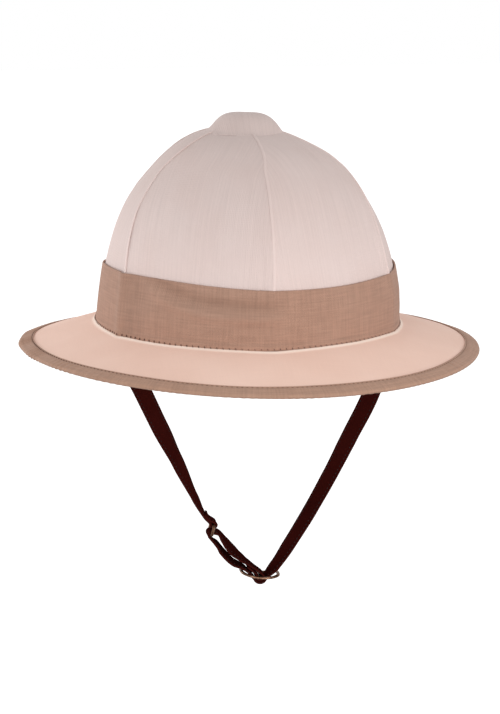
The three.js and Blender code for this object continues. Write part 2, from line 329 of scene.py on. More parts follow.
def add_sheet(mesh, columns, rows, place, chart, marks=None):
    """A grid with corners 0 and 1, each point bent by place and charted in metres."""
    grid = bmesh.ops.create_grid(mesh, x_segments=columns, y_segments=rows, size=0.5)
    cloth = mesh.loops.layers.uv["Cloth"]
    layers = {name: mesh.verts.layers.float[name] for name in marks or {}}
    for vert in grid["verts"]:
        u = min(max(vert.co.x + 0.5, 0.0), 1.0)
        v = min(max(vert.co.y + 0.5, 0.0), 1.0)
        for loop in vert.link_loops:
            loop[cloth].uv = chart(u, v)
        for name, layer in layers.items():
            vert[layer] = marks[name](u, v)
        vert.co = place(u, v)
    return grid["verts"]


def make_piece(name, mesh, slot, material, *nodes):
    """Closes a mesh, gives it its finish and sets it in place of the solids it stands for."""
    bmesh.ops.remove_doubles(mesh, verts=mesh.verts, dist=2e-6)
    bmesh.ops.recalc_face_normals(mesh, faces=mesh.faces)
    for face in mesh.faces:
        face.smooth = True
    data = bpy.data.meshes.new(name)
    mesh.to_mesh(data)
    mesh.free()
    data.materials.append(material)
    piece = bpy.data.objects.new(name, data)
    bpy.context.scene.collection.objects.link(piece)
    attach(piece, "root")
    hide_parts(*nodes)
    return piece


def settle(azimuth):
    """How far the hand-made foot of the dome, and what sits on it, rises from the level."""
    return wave(azimuth, 0.6, 1.0, -1.6, -1.0, 0.4)


def dip(high, place, spread, depth):
    """How far the dome is drawn in at a share of its height."""
    return depth * bell(high - place, spread)


def dome_point(azimuth, level, growth=0.0, fullness=1.0):
    """The dome at a level from 0 at its foot to a quarter turn at its apex."""
    wide = max(0.0, math.cos(level)) ** DOME_WIDE
    high = math.sin(level) ** DOME_HIGH
    low = (1 - high) ** 2
    left_dip = dip(high, *SHOULDER_DIP)
    half_width = (HALF_WIDTH - FOOT_SLACK * low + growth) * wide * fullness
    half_width = max(0.0, half_width - left_dip)
    point = oval(azimuth, half_width, half_width * OVAL)
    right_dip = dip(high, *CAP_DIP) * (1 + math.sin(azimuth) * smooth(wide, 0.0, 0.2))
    point.x += LEAN[0] * high + LEAN[1] * high * high + LEAN[2] * low + left_dip - right_dip
    point.z = sizes().seam_gap + (HEIGHT + growth) * high + settle(azimuth) * low
    return point


def level_at(height):
    return math.asin(min(height / HEIGHT, 1.0) ** (1 / DOME_HIGH))


def seam_azimuth(index, high):
    """The azimuth of the seam on a gore's left, at a share of the dome's height."""
    turns, index = divmod(index, len(GORES))
    foot, middle, shoulder, swing = GORES[index][1:]
    at = min(max(high, 0.25), 0.8)
    stops = (0.3, 0.55, 0.78)
    degrees = 360 * turns + swing * smooth(high, 0.8, 0.97)
    for stop, value in zip(stops, (foot, middle, shoulder)):
        others = [other for other in stops if other != stop]
        share = (at - others[0]) * (at - others[1])
        degrees += value * share / ((stop - others[0]) * (stop - others[1]))
    return math.radians(degrees)


def gore_fullness(across, level):
    """A gore is flatter than the round dome, and its seams stand out as corners, most of all
    at the dome's middle."""
    middle = math.cos(GORE_SPAN / 2)
    flat = middle / math.cos((across - 0.5) * GORE_SPAN)
    sharp = lerp(0.5, 1.0, smooth(level, 0.1, 0.5)) * (1 - 0.7 * smooth(level, 0.6, 1.05))
    corner = sizes().seam_corner * sharp * (flat - middle)
    return 1 - sizes().gore_flatness * math.sin(level) ** 2 * (1 - flat) + corner


def gore_across(azimuth, level):
    """Where an azimuth lies across its own gore, from one seam at 0 to the next at 1."""
    high = math.sin(level) ** DOME_HIGH
    azimuth %= TURN
    for index in range(-1, len(GORES)):
        start, end = seam_azimuth(index, high), seam_azimuth(index + 1, high)
        if start <= azimuth < end:
            return (azimuth - start) / (end - start)
    return 0.0


def gore_frame(index, level):
    """A gore's two seams as azimuths and its width, at one level."""
    high = math.sin(level) ** DOME_HIGH
    radius = max(HALF_WIDTH * math.cos(level) ** DOME_WIDE, sizes().seam_gap)
    setback = sizes().seam_gap / 2 / radius
    start = seam_azimuth(index, high) + setback
    end = seam_azimuth(index + 1, high) - setback
    return start, end, (end - start) * radius * (1 + OVAL) / 2


def build_gore(index):
    """One gore: a padded panel, rolled under at its seams, with its allowance showing."""
    name = GORES[index][0]
    wall = sizes().gore_wall
    vent = 1.5 * MM
    tip_level = math.acos((vent / HALF_WIDTH) ** (1 / DOME_WIDE))
    seam_roll = 0.4 * MM
    hem_roll = 1.5 * MM

    def where(u, v):
        climb, outside = there_and_back(v, 0.3)
        return bunch(u, 0.08), climb, outside

    def place(u, v):
        across, climb, outside = where(u, v)
        level = climb * tip_level
        start, end, width = gore_frame(index, level)
        azimuth = lerp(start, end, across)
        left, right = across * width, (1 - across) * width
        roll = rolled(min(left, right), min(seam_roll, width / 2.2))
        roll *= rolled(min(climb, 1 - climb) * GORE_ARC, hem_roll)
        fullness = gore_fullness(across, level)
        if not outside:
            return dome_point(azimuth, level, -wall / 2 - wall / 2 * roll, fullness)
        point = dome_point(azimuth, level, 0.0, fullness)
        ridge = 0.4 * MM * (bell(left, 3 * MM) + bell(right, 3 * MM))
        allowance = lerp(5, 11.8, smooth(climb, 0.2, 0.65)) * MM
        raised = sizes().allowance_rise * (1 - smooth(right, allowance - 0.8 * MM, allowance))
        uneven = 0.35 * MM * rough(point, 34 * MM, index) + 0.12 * MM * rough(point, 9 * MM)
        growth = -wall / 2 + (wall / 2 + ridge + raised + uneven) * roll
        return dome_point(azimuth, level, growth, fullness)

    def chart(u, v):
        across, climb, _ = where(u, v)
        width = gore_frame(index, climb * tip_level)[2]
        return (across - 0.5) * width + index * 0.13, climb * GORE_ARC

    mesh = new_mesh()
    add_sheet(mesh, 56, 176, place, chart)
    cloth = finish("crown_cloth")
    return make_piece(f"gore_{name}", mesh, "crown_cloth", cloth, f"crown_gore_{name}")


def build_welts():
    """The six raised cords that close the seams between the gores."""
    mesh = new_mesh()
    half_width = sizes().welt_width / 2
    half_height = sizes().welt_height / 2
    lift = 0.35 * MM
    for index in range(len(GORES)):

        def place(u, v, index=index):
            level = lerp(0.02, 1.0, u) * (math.pi / 2 - 0.03)
            azimuth = seam_azimuth(index, math.sin(level) ** DOME_HIGH)
            fullness = gore_fullness(0.0, level)
            base = dome_point(azimuth, level, lift, fullness)
            out = (dome_point(azimuth, level, MM, fullness) - base).normalized()
            side = (dome_point(azimuth + 0.01, level, lift, fullness) - base).normalized()
            end = rolled(min(u, 1 - u) * GORE_ARC, half_width)
            a, b = squircle(v, half_width * end, half_height * end, 2.2)
            lump = 1 + 0.16 * rough(base, 5 * MM, 3.0)
            return base + side * a * lump + out * (b * lump + half_height / 2)

        def chart(u, v, index=index):
            return v * 2.4 * MM + index * 0.01, u * GORE_ARC

        add_sheet(mesh, 110, 12, place, chart)
    # The welts' finish is the crown's cloth made paler, a painted highlight.
    return make_piece("gore_welts", mesh, "crown_cloth", finish("welt_highlight_cloth"))


def cap_reach(azimuth):
    """Half width of the cap's foot, which reaches a little further on the right."""
    return sizes().cap_reach + 1.1 * MM * math.sin(azimuth)


def build_cap():
    """The low foam cap, drawn down to the dome in a flare that is softest on the left."""
    skin = 0.5 * MM

    def under(u, out):
        """The cap's underside, on the dome, at a share of the way out to its foot."""
        azimuth = TURN * u
        level = math.acos(min(out * cap_reach(azimuth) / HALF_WIDTH, 1.0) ** (1 / DOME_WIDE))
        fullness = lerp(1.0, gore_fullness(gore_across(azimuth, level), level), out)
        return dome_point(azimuth, level, 0.0, fullness)

    def top(u, out):
        point = under(u, out)
        right = (1 + math.sin(TURN * u)) / 2
        height = max(0.0, 1 - out ** lerp(4.2, 5.5, right)) ** lerp(3.9, 1.6, right)
        uneven = 0.3 * MM * rough(point, 12 * MM, 7.0) * (1 - out**4)
        point.z += skin * rolled((1 - out) * cap_reach(TURN * u), 3 * skin)
        point.z += sizes().cap_height * height + uneven
        return point

    def chart(u, out):
        reach = out * cap_reach(TURN * u)
        return oval(TURN * u, reach, reach * OVAL).xy

    def finer_at_foot(place):
        return lambda u, v: place(u, math.sin(math.pi / 2 * v))

    mesh = new_mesh()
    add_sheet(mesh, 144, 42, finer_at_foot(top), finer_at_foot(chart))
    add_sheet(mesh, 144, 28, under, chart)
    return make_piece("cap", mesh, "crown_cloth", finish("crown_cloth"), "crown_cap")


def brim_fall(azimuth):
    """The brim's fall at its edge, deepest in front and behind, and on the right."""
    mean = 13.9
    return wave(azimuth, mean, 0.14, 2.33, 2.36, 0.74) * sizes().brim_drop / (mean * MM)


def brim_point(azimuth, share, rise=0.0):
    """The brim's top at a share of the way from the dome's foot to its edge."""
    half_width = lerp(HALF_WIDTH, BRIM_HALF_WIDTH, share)
    half_length = lerp(HALF_LENGTH, BRIM_HALF_LENGTH, share)
    fall = brim_fall(azimuth) * max(share, 0.0) ** BRIM_CURVE
    lift = settle(azimuth) * (1 - min(max(share, 0.0), 1.0)) ** 2
    return oval(azimuth, half_width, half_length, lift - fall + rise)


def brim_reach(azimuth):
    flat = brim_point(azimuth, 1) - brim_point(azimuth, 0)
    return Vector((flat.x, flat.y)).length


def board_half(azimuth, share):
    """Half the board's thickness, squeezed where the binding is sewn over it."""
    edge = binding_edge(azimuth)
    return lerp(sizes().brim_board / 2, SEWN_HALF, smooth(share, edge - 0.01, edge + 0.05))


def build_brim():
    """The brim board in its smooth cloth, with a painted highlight along the fold that shows under
    the band.
    """
    board = sizes().brim_board
    wall_share = -(sizes().gore_wall / (BRIM_HALF_WIDTH - HALF_WIDTH))
    fold_reach = sizes().seam_gap + sizes().band_cloth + 1.3 * MM

    def from_fold(azimuth, share):
        """How far a point lies outside the fold under the band, which follows the dome's foot."""
        foot = dome_point(azimuth, 0.0, fold_reach, gore_fullness(gore_across(azimuth, 0.0), 0.0))
        point = brim_point(azimuth, share)
        return Vector((point.x, point.y)).length - Vector((foot.x, foot.y)).length

    def where(v):
        outward, top = there_and_back(v, 0.25)
        return lerp(wall_share, 1.0, outward), outward, top

    def place(u, v):
        azimuth = TURN * u
        share, outward, top = where(v)
        reach = brim_reach(azimuth)
        edge = rolled(min(outward, 1 - outward) * reach, board / 2)
        point = brim_point(azimuth, share)
        uneven = 0.35 * MM * rough(point, 45 * MM, 5.0) + 0.1 * MM * rough(point, 14 * MM, 6.0)
        ridge = 0.7 * MM * bell(from_fold(azimuth, share), 0.9 * MM)
        ridge *= 1 + 0.3 * rough(point, 6 * MM)
        middle = -board / 2
        half = board_half(azimuth, share)
        if top:
            quiet = 1 - smooth(share, binding_edge(azimuth) - 0.05, binding_edge(azimuth))
            return brim_point(azimuth, share, middle + (half + uneven * quiet + ridge) * edge)
        return brim_point(azimuth, share, middle - half * edge)

    def chart(u, v):
        share, _, top = where(v)
        point = brim_point(TURN * u, share)
        return point.x, point.y + (0 if top else 0.4)

    # Painted highlight along the fold under the band.
    def fillet_highlight(u, v):
        share, _, top = where(v)
        return bell(from_fold(TURN * u, share) - 0.4 * MM, 1.0 * MM) if top else 0.0

    mesh = new_mesh("fillet_highlight")
    add_sheet(mesh, 220, 150, place, chart, {"fillet_highlight": fillet_highlight})
    return make_piece("brim_board", mesh, "brim_cloth", finish("brim_cloth"), "brim")


def band_stand(azimuth, climb):
    """How far the band stands off the dome: snug in front, loose at the sides and back."""
    side = smooth(abs(math.sin(azimuth)), 0.75, 1.0)
    back = smooth(-math.cos(azimuth), 0.2, 1.0)
    loose = 0.7 * side * climb**2 + 0.4 * back * climb
    return loose * MM


def fold_line(azimuth, climb):
    """How far a point of the band lies above its slanting fold, and how much it is folded."""
    near = smooth(around(azimuth, FOLD_START), 0, 12)
    near *= 1 - smooth(around(azimuth, FOLD_END), 0, 14)
    return climb - 0.75 - 0.0004 * min(around(azimuth, FOLD_DROOP), 0.0) ** 2, near


def band_fold(azimuth, climb):
    """The band's crease over the left seam, its slanting fold and its ripples."""
    crease = 1.3 * bell(around(azimuth, -62), 2.4)
    above, near = fold_line(azimuth, climb)
    first = 1.5 * bell(above + 0.22, 0.09) * near
    second = 1.2 * (1 - bell(above, 0.09)) * near * bell(climb - 0.5, 0.4)
    hollow = 0.7 * bell(climb - 0.62, 0.16) * bell(around(azimuth, 62), 16)
    ripple = 0.5 * bell(climb - 0.3, 0.2) * bell(around(azimuth, 84), 12)
    return (crease + first + second + hollow + ripple) * MM


def fold_shade(azimuth, climb):
    """Painted shade on the band, from 0 to 1: most in the hollows of its folds."""
    above, near = fold_line(azimuth, climb)
    left = 0.6 * bell(around(azimuth, FOLD_START), 7)
    right = 0.6 * bell(climb - 0.5, 0.3) * bell(around(azimuth, 76), 9)
    return min(0.85 * bell(above, 0.1) * near + left + right, 1.0)


def band_top(azimuth):
    """Height of the band's loose top edge, which waves most on a band 35 mm high."""
    return wave(azimuth, 34.6, 2.1, -0.6, -2.9, -1.4) * sizes().band_height / (35 * MM)


def build_band():
    """The cotton band: a loop of cloth turned in at its top and hemmed at its foot."""
    skin = sizes().band_cloth
    tall = sizes().band_height
    round_dome = 625 * MM
    hem_height = 3.5 * MM
    hem_rise = 0.5 * MM

    def where(v):
        return there_and_back(v, 0.2)

    def place(u, v):
        azimuth = TURN * u
        climb, outside = where(v)
        height = lerp(settle(azimuth) - 0.5 * MM, band_top(azimuth), climb)
        level = level_at(max(height - settle(azimuth) * (1 - climb) ** 2, 0.0))
        fullness = gore_fullness(gore_across(azimuth, level), level)
        base = dome_point(azimuth, level, 0.0, fullness)
        grain = 0.16 * MM * rough(base, 11 * MM, 2.0) + 0.35 * MM * rough(base, 38 * MM, 9.0)
        stand = band_stand(azimuth, climb) + band_fold(azimuth, climb) + max(grain, -0.2 * MM)
        flare = 0.3 * MM * (1 - climb) ** 3
        middle = sizes().seam_gap + stand + flare + skin / 2
        roll = rolled(min(climb, 1 - climb) * tall, skin / 2)
        growth = middle - skin / 2 * roll
        if outside:
            hem = hem_rise * (1 - smooth(climb * tall, hem_height - 0.5 * MM, hem_height))
            growth = middle + skin / 2 * roll + hem
        point = dome_point(azimuth, level, growth, fullness)
        point.z = height
        return point

    def chart(u, v):
        climb, outside = where(v)
        return u * round_dome, climb * tall + (0 if outside else 0.1)

    # Painted shade along the hem's edge and in the hollows of the folds.
    def hollow(u, v):
        climb, outside = where(v)
        if not outside:
            return 0.0
        hem_shade = 0.4 * bell(climb * tall - hem_height, 0.5 * MM)
        return max(hem_shade, fold_shade(TURN * u, climb))

    mesh = new_mesh("hollow")
    add_sheet(mesh, 420, 84, place, chart, {"hollow": hollow})
    return make_piece("band", mesh, "band_cloth", finish("band_cloth"), "hat_band")


def pucker(azimuth):
    """Radial gathers of the binding, strong on the left end and faint elsewhere."""
    strength = 0.1 + 0.45 * bell(around(azimuth, -90), 26) + 0.1 * bell(around(azimuth, 84), 20)
    beat = math.sin(azimuth * 190 + 3 * math.sin(azimuth * 11))
    return strength * beat * (0.6 + 0.4 * math.sin(azimuth * 23)) * MM


def binding_edge(azimuth):
    """The binding's inner edge as a share of the brim's reach."""
    width = sizes().binding_width + 0.35 * MM * math.sin(azimuth * 7)
    inset = sizes().binding_tape + sizes().seam_gap
    return 1 - (width - inset) / brim_reach(azimuth)


def build_binding():
    """The tape folded over the brim's edge, gathered and stitched down."""
    tape = PRESSED * sizes().binding_tape
    board = sizes().brim_board
    snug = 0.04 * MM
    flat_length = 930 * MM
    flat_width = 20 * MM

    def where(v):
        return there_and_back(v, 0.2)

    def centre(azimuth, along):
        """A point half way through the tape, from its lower edge round to its upper edge."""
        reach = brim_reach(azimuth)
        leaf = (1 - binding_edge(azimuth)) * reach
        high = board_half(azimuth, 1.0) + snug + tape / 2
        bend = math.pi * high
        path = along * (2 * leaf + bend)
        if path < leaf:
            out, face = path - leaf, -1
        elif path < leaf + bend:
            angle = math.pi * ((path - leaf) / bend - 0.5)
            return high * math.cos(angle), high * math.sin(angle), 0, leaf
        else:
            out, face = leaf + bend - path, 1
        rise = face * (board_half(azimuth, 1 + out / reach) + snug + tape / 2)
        return out, rise, face, min(path, 2 * leaf + bend - path)

    def place(u, v):
        azimuth = TURN * u
        along, outside = where(v)
        out, rise, face, from_edge = centre(azimuth, along)
        roll = rolled(from_edge, tape / 2)
        thick = -tape / 2 * roll
        if outside:
            swell = pucker(azimuth) * (1 - bell(from_edge, 1.6 * MM))
            if face:
                swell += 0.28 * MM * bell(from_edge - 3.4 * MM, 1.7 * MM)
                swell -= 0.26 * MM * bell(from_edge - STITCH_INSET, 0.5 * MM)
            thick = (tape / 2 + swell) * roll
        if face:
            share = 1 + out / brim_reach(azimuth)
            return brim_point(azimuth, share, -board / 2 + rise + face * thick)
        point = brim_point(azimuth, 1.0, -board / 2)
        flat = Vector((point.x, point.y, 0)).normalized()
        arm = Vector((out, rise))
        arm += arm.normalized() * thick
        return point + flat * arm.x + Vector((0, 0, arm.y))

    def chart(u, v):
        along, outside = where(v)
        return u * flat_length, along * flat_width + (0 if outside else 0.05)

    def shade(u, v):
        """Painted shade, in the groove along the stitches and below the middle of the brim's edge.
        """
        _, rise, face, from_edge = centre(TURN * u, where(v)[0])
        if face:
            return 0.4 * bell(from_edge - STITCH_INSET, 0.4 * MM)
        return smooth(-rise, 0.0, 0.8 * MM)

    mesh = new_mesh("line")
    add_sheet(mesh, 1240, 60, place, chart, {"line": shade})
    return make_piece("binding", mesh, "binding_cloth", finish("binding_cloth"), "brim_binding")


def route_point(points, at):
    """A smooth line through the points, evenly tight whatever their spacing."""
    leg = min(int(at), len(points) - 2)
    share = at - leg
    here, there = points[leg], points[leg + 1]
    before = points[leg - 1] if leg else 2 * here - there
    after = points[leg + 2] if leg + 2 < len(points) else 2 * there - here
    first, middle, last = (
        math.sqrt(max((b - a).length, 1e-6))
        for a, b in ((before, here), (here, there), (there, after))
    )
    leave = (here - before) / first - (there - before) / (first + middle) + (there - here) / middle
    reach = (there - here) / middle - (after - here) / (middle + last) + (after - there) / last
    leave *= middle
    reach *= middle
    cubic = 2 * here - 2 * there + leave + reach
    square = 3 * there - 3 * here - 2 * leave - reach
    return here + share * (leave + share * (square + share * cubic))


def strap_metal():
    """Where the strap turns: the centres of the slider's bar and the ring's two bars."""
    size = sizes()
    across, depth = RING_PLACE
    down = Vector((-math.sin(RING_TILT), 0, -math.cos(RING_TILT)))
    top = Vector((across * (HALF_WIDTH - size.gore_wall), 0, -depth * size.strap_drop))
    return Vector((SLIDER_SHIFT, 0, -size.strap_drop)), top, top + down * size.ring_reach, down


def strap_plane():
    """Y of the upright plane that both halves of the strap hang in."""
    return -(HALF_LENGTH - sizes().gore_wall * OVAL) * math.cos(STRAP_AZIMUTH)


def turn_round(centre, radius, start, end, steps):
    """Points of the strap's turn round a bar, by angles in degrees from +X towards +Z."""
    rows = []
    for step in range(steps + 1):
        angle = math.radians(lerp(start, end, step / steps))
        spoke = Vector((math.cos(angle), 0, math.sin(angle)))
        rows.append((centre + spoke * radius, 0, 0))
    return rows


def strap_routes():
    """The two halves of the strap as rows of point, roll and yaw."""
    size = sizes()
    inside = HALF_WIDTH - size.gore_wall
    slider_bar, ring_top, ring_bottom, _ = strap_metal()
    half_skin = size.strap_leather / 2
    ring_turn = size.ring_wire + 0.5 * size.seam_gap + half_skin
    bar_turn = math.hypot(size.slider_rail, size.slider_plate) / 2 + size.seam_gap + half_skin
    layer = size.strap_leather + size.seam_gap

    def hanging(rows):
        return [(Vector((x * inside, 0, -z * size.strap_drop)), roll, 0) for x, z, roll in rows]

    def anchored(side):
        yaw = side * math.degrees(math.atan(1 / math.tan(STRAP_AZIMUTH) / OVAL))
        rows = []
        for height in ANCHOR_HEIGHTS:
            wall = dome_point(STRAP_AZIMUTH, level_at(height), -size.gore_wall)
            clear = 1.15 * MM + half_skin
            rows.append((Vector((side * (wall.x - clear), 0, height)), 0, yaw))
        return rows

    left = [
        *anchored(-1),
        *hanging(LEFT_ARM),
        *turn_round(ring_top, ring_turn, 170, 380, 7),
        *hanging(LEFT_END),
    ]
    right = [
        *anchored(1),
        *hanging(RIGHT_ARM),
        *turn_round(slider_bar, bar_turn + layer, -15, -165, 5),
        *hanging(OUTER_LAYER),
        *turn_round(ring_bottom, ring_turn, 215, 35, 6),
        *hanging(INNER_LAYER),
        *turn_round(slider_bar, bar_turn, 60, -210, 9),
        *hanging(RIGHT_END),
    ]
    return left, right


class Strap:
    """A flat strap along a route: where each point of its section lies."""

    def __init__(self, route):
        self.points = [row[0] for row in route]
        self.turns = [row[1:] for row in route]
        self.legs = len(route) - 1
        samples = 12 * self.legs
        line = [route_point(self.points, self.legs * i / samples) for i in range(samples + 1)]
        self.marks = [0.0]
        for start, end in zip(line, line[1:]):
            self.marks.append(self.marks[-1] + (end - start).length)
        self.length = self.marks[-1]

    def at(self, distance):
        """The route's own measure at a distance along the strap."""
        high = bisect_right(self.marks, distance, 1, len(self.marks) - 1)
        low = high - 1
        step = self.marks[high] - self.marks[low]
        share = (distance - self.marks[low]) / step if step else 0.0
        return self.legs * (low + min(max(share, 0.0), 1.0)) / (len(self.marks) - 1)

    def frame(self, distance):
        """The centre, and the directions across and through the strap."""
        at = self.at(min(max(distance, 0.0), self.length))
        leg = min(int(at), self.legs - 1)
        ahead = route_point(self.points, min(at + 0.01, self.legs))
        behind = route_point(self.points, max(at - 0.01, 0.0))
        along = (ahead - behind).normalized()
        blend = smooth(at - leg)
        roll = math.radians(lerp(self.turns[leg][0], self.turns[leg + 1][0], blend))
        yaw = math.radians(lerp(self.turns[leg][1], self.turns[leg + 1][1], blend))
        across = Matrix.Rotation(roll, 3, along) @ Vector((math.sin(yaw), math.cos(yaw), 0))
        across = (across - along * across.dot(along)).normalized()
        centre = route_point(self.points, at)
        centre.y = strap_plane()
        return centre, across, along.cross(across).normalized()


def build_strap(name, strap, node):
    """One half of the chin strap, with rounded cut edges and a slight crown across it."""
    half_width = sizes().strap_width / 2
    half_skin = sizes().strap_leather / 2
    columns = round(strap.length / (1.1 * MM))

    def place(u, v):
        distance = u * strap.length
        centre, across, through = strap.frame(distance)
        end = rolled(min(distance, strap.length - distance), half_skin)
        a, b = squircle(v, half_width, half_skin, 7)
        b *= end
        edge = abs(a) / half_width
        raised = 0.12 * MM * smooth(edge, 0.62, 0.8) * (1 - smooth(edge, 0.9, 1))
        b += math.copysign(raised, b) * end
        a *= lerp(0.86, 1.0, end)
        wavy = 0.12 * MM * rough(centre, 9 * MM, 4.0)
        return centre + across * a + through * (b + wavy)

    def chart(u, v):
        a, b = squircle(v, half_width, half_skin, 7)
        return u * strap.length, a + (0.02 if b < 0 else 0.0)

    def edge(u, v):
        a = abs(squircle(v, half_width, half_skin, 7)[0]) / half_width
        ends = min(u, 1 - u) * strap.length
        return max(smooth(a, 0.985, 0.999), 1 - smooth(ends, 0.3 * MM, 0.6 * MM))

    mesh = new_mesh("edge")
    add_sheet(mesh, columns, 40, place, chart, {"edge": edge})
    return make_piece(name, mesh, "strap_leather", finish("strap_leather"), node)


def add_closed_bar(mesh, columns, rows, path, up, section):
    """A bar bent along a closed path, its section given sideways and upwards."""

    def place(u, v):
        centre = path(u)
        along = (path(u + 0.002) - path(u - 0.002)).normalized()
        side = up.cross(along).normalized()
        rise = along.cross(side)
        s, r = section(v)
        return centre + side * s + rise * r

    def chart(u, v):
        return u * 80 * MM, v * 6 * MM

    add_sheet(mesh, columns, rows, place, chart)


def build_ring():
    """The wire ring that joins the halves of the strap."""
    size = sizes()
    _, top, _, down = strap_metal()
    centre = top + down * size.ring_reach / 2
    centre.y = strap_plane()
    half_span = size.strap_width / 2 + size.ring_play + size.ring_wire

    def path(u):
        across, fall = squircle(u % 1.0, half_span, size.ring_reach / 2, 4.5)
        return centre + Vector((0, across, 0)) + down * fall

    def wire(v):
        return size.ring_wire * math.cos(TURN * v), size.ring_wire * math.sin(TURN * v)

    mesh = new_mesh()
    add_closed_bar(mesh, 120, 20, path, Vector((down.z, 0, -down.x)), wire)
    return make_piece("ring", mesh, "strap_brass", finish("strap_brass"), "strap_ring")


def build_slider():
    """The bowed slider: a soft-edged frame with a bar across its middle."""
    size = sizes()
    half_length = (size.slider_length - size.slider_rail) / 2
    half_width = (size.slider_width - size.slider_rail) / 2

    def path(u):
        x, y = squircle(u % 1.0, half_length, half_width, 3.6)
        return Vector((x, y, size.slider_bow * (x / half_length) ** 2))

    def rail(v):
        return squircle(v, size.slider_rail / 2, size.slider_plate / 2, 3.2)

    def bar(u, v):
        s, r = squircle(v, size.slider_rail / 2, size.slider_plate / 2, 3.2)
        return Vector((s, lerp(-half_width, half_width, u), r))

    mesh = new_mesh()
    add_closed_bar(mesh, 160, 20, path, Vector((0, 0, 1)), rail)
    add_sheet(mesh, 12, 20, bar, lambda u, v: (u * 16 * MM, v * 6 * MM))
    bmesh.ops.remove_doubles(mesh, verts=mesh.verts, dist=2e-6)
    rims = [edge for edge in mesh.edges if edge.is_boundary]
    bmesh.ops.holes_fill(mesh, edges=rims, sides=0)
    slider_bar = strap_metal()[0]
    slider_bar.y = strap_plane()
    tilt = Matrix.Rotation(SLIDER_TILT, 4, "Y")
    bmesh.ops.transform(mesh, matrix=Matrix.Translation(slider_bar) @ tilt, verts=mesh.verts)
    return make_piece("slider", mesh, "strap_brass", finish("strap_brass"), "strap_slider")


def add_stitch(mesh, start, end, out, radius):
    """One stitch: a small bead drawn out from start to end, half sunk in the cloth."""
    along = end - start
    side = out.cross(along).normalized()
    rise = along.normalized().cross(side)
    stretch = Matrix((side * radius, along / 2, rise * radius * 0.8)).transposed().to_4x4()
    place = Matrix.Translation((start + end) / 2) @ stretch
    bmesh.ops.create_icosphere(mesh, subdivisions=1, radius=1.0, matrix=place)


def stitch_line(mesh, place, total, pitch, share, radius, out):
    """Stitches along a line: place, radius and out are given by the distance along it."""
    count = round(total / pitch)
    for index in range(count):
        distance = index * total / count
        start, end = place(distance), place(distance + pitch * share)
        add_stitch(mesh, start, end, out(distance), radius(distance))


def build_hem_stitches():
    """Whip stitches that hold the band's hem to the brim."""
    size = sizes()
    round_foot = 640 * MM
    mesh = new_mesh()

    def place(distance):
        azimuth = TURN * distance / round_foot
        stand = band_stand(azimuth, 0.0) + band_fold(azimuth, 0.0) + 0.75 * MM
        fullness = gore_fullness(gore_across(azimuth, 0.0), 0.0)
        point = dome_point(azimuth, 0.0, size.seam_gap + size.band_cloth + stand, fullness)
        slip = (distance % size.hem_pitch) / size.hem_pitch
        point.z = settle(azimuth) + (1.15 - 0.55 * slip) * MM
        return point

    count = round(round_foot / size.hem_pitch)
    for index in range(count):
        distance = index * round_foot / count
        azimuth = TURN * distance / round_foot
        start = place(distance)
        end = start + Vector((0, 0, -1.3 * MM)) + oval(azimuth, 0.7 * MM, 0.7 * MM)
        sideways = oval(azimuth + math.pi / 2, 0.35 * MM, 0.35 * MM)
        out = oval(azimuth, 1.0, 1.0, 0.5).normalized()
        pulled = 0.5 + 0.5 * bell(around(azimuth, -48), 20)
        add_stitch(mesh, start - sideways, end + sideways, out, 0.48 * MM * pulled)
    return make_piece("hem_stitches", mesh, "band_cloth", finish("dark_thread"))


def build_binding_stitches():
    """Running stitches near the binding's inner edge, on both faces of the brim."""
    size = sizes()
    round_brim = 905 * MM
    middle = -size.brim_board / 2
    half = SEWN_HALF + PRESSED * size.binding_tape
    up = Vector((0, 0, 1))

    def pulled(distance):
        """Thread stands out on the left, and is sunk in the tape elsewhere."""
        azimuth = TURN * distance / round_brim
        return lerp(0.16, 0.42, bell(around(azimuth, -72), 26)) * MM

    mesh = new_mesh()
    for rise, out in ((middle + half + 0.2 * MM, up), (middle - half - 0.05 * MM, -up)):

        def place(distance, rise=rise):
            azimuth = TURN * distance / round_brim
            share = binding_edge(azimuth) + STITCH_INSET / brim_reach(azimuth)
            return brim_point(azimuth, share, rise)

        def outward(_, out=out):
            return out

        stitch_line(mesh, place, round_brim, size.binding_pitch, 0.5, pulled, outward)
    return make_piece("binding_stitches", mesh, "binding_cloth", finish("dark_thread"))


def build_strap_stitches(straps):
    """A row of stitches along each edge of both straps, and across their sewn ends."""
    size = sizes()
    mesh = new_mesh()
    inset = size.strap_width / 2 - 1.5 * MM

    def thread(distance):
        return 0.26 * MM

    for strap in straps:
        for side in (-1, 1):
            for face in (-1, 1):

                def place(distance, strap=strap, side=side, face=face):
                    centre, across, through = strap.frame(distance)
                    skin = size.strap_leather / 2 + 0.04 * MM
                    return centre + across * side * inset + through * face * skin

                def out(distance, strap=strap, face=face):
                    return strap.frame(distance)[2] * face

                total = strap.length - 2 * MM
                stitch_line(mesh, place, total, size.strap_pitch, 0.62, thread, out)
    return make_piece("strap_stitches", mesh, "strap_leather", finish("strap_thread"))


def plug(tree, value, socket):
    """Links a socket to the output that feeds it, or sets its value."""
    if isinstance(value, bpy.types.NodeSocket):
        tree.links.new(value, socket)
    else:
        socket.default_value = value


def put(tree, kind, inputs=None, **settings):
    """Adds a node, links or sets its inputs by name or number, and gives its first output."""
    node = tree.nodes.new(kind)
    for name, value in settings.items():
        setattr(node, name, value)
    for key, value in (inputs or {}).items():
        plug(tree, value, node.inputs[key])
    return node.outputs[0]


def calc(tree, operation, first, second=0.0, third=0.0):
    return put(tree, "ShaderNodeMath", {0: first, 1: second, 2: third}, operation=operation)


def mix(tree, factor, first, second, blend="MIX"):
    """Mixes two colours by a factor."""
    inputs = {0: factor, 6: first, 7: second}
    settings = {"data_type": "RGBA", "blend_type": blend}
    return put(tree, "ShaderNodeMix", inputs, **settings).node.outputs[2]


def remap(tree, value, low, high, start, end):
    inputs = {"Value": value, "From Min": low, "From Max": high, "To Min": start, "To Max": end}
    return put(tree, "ShaderNodeMapRange", inputs)


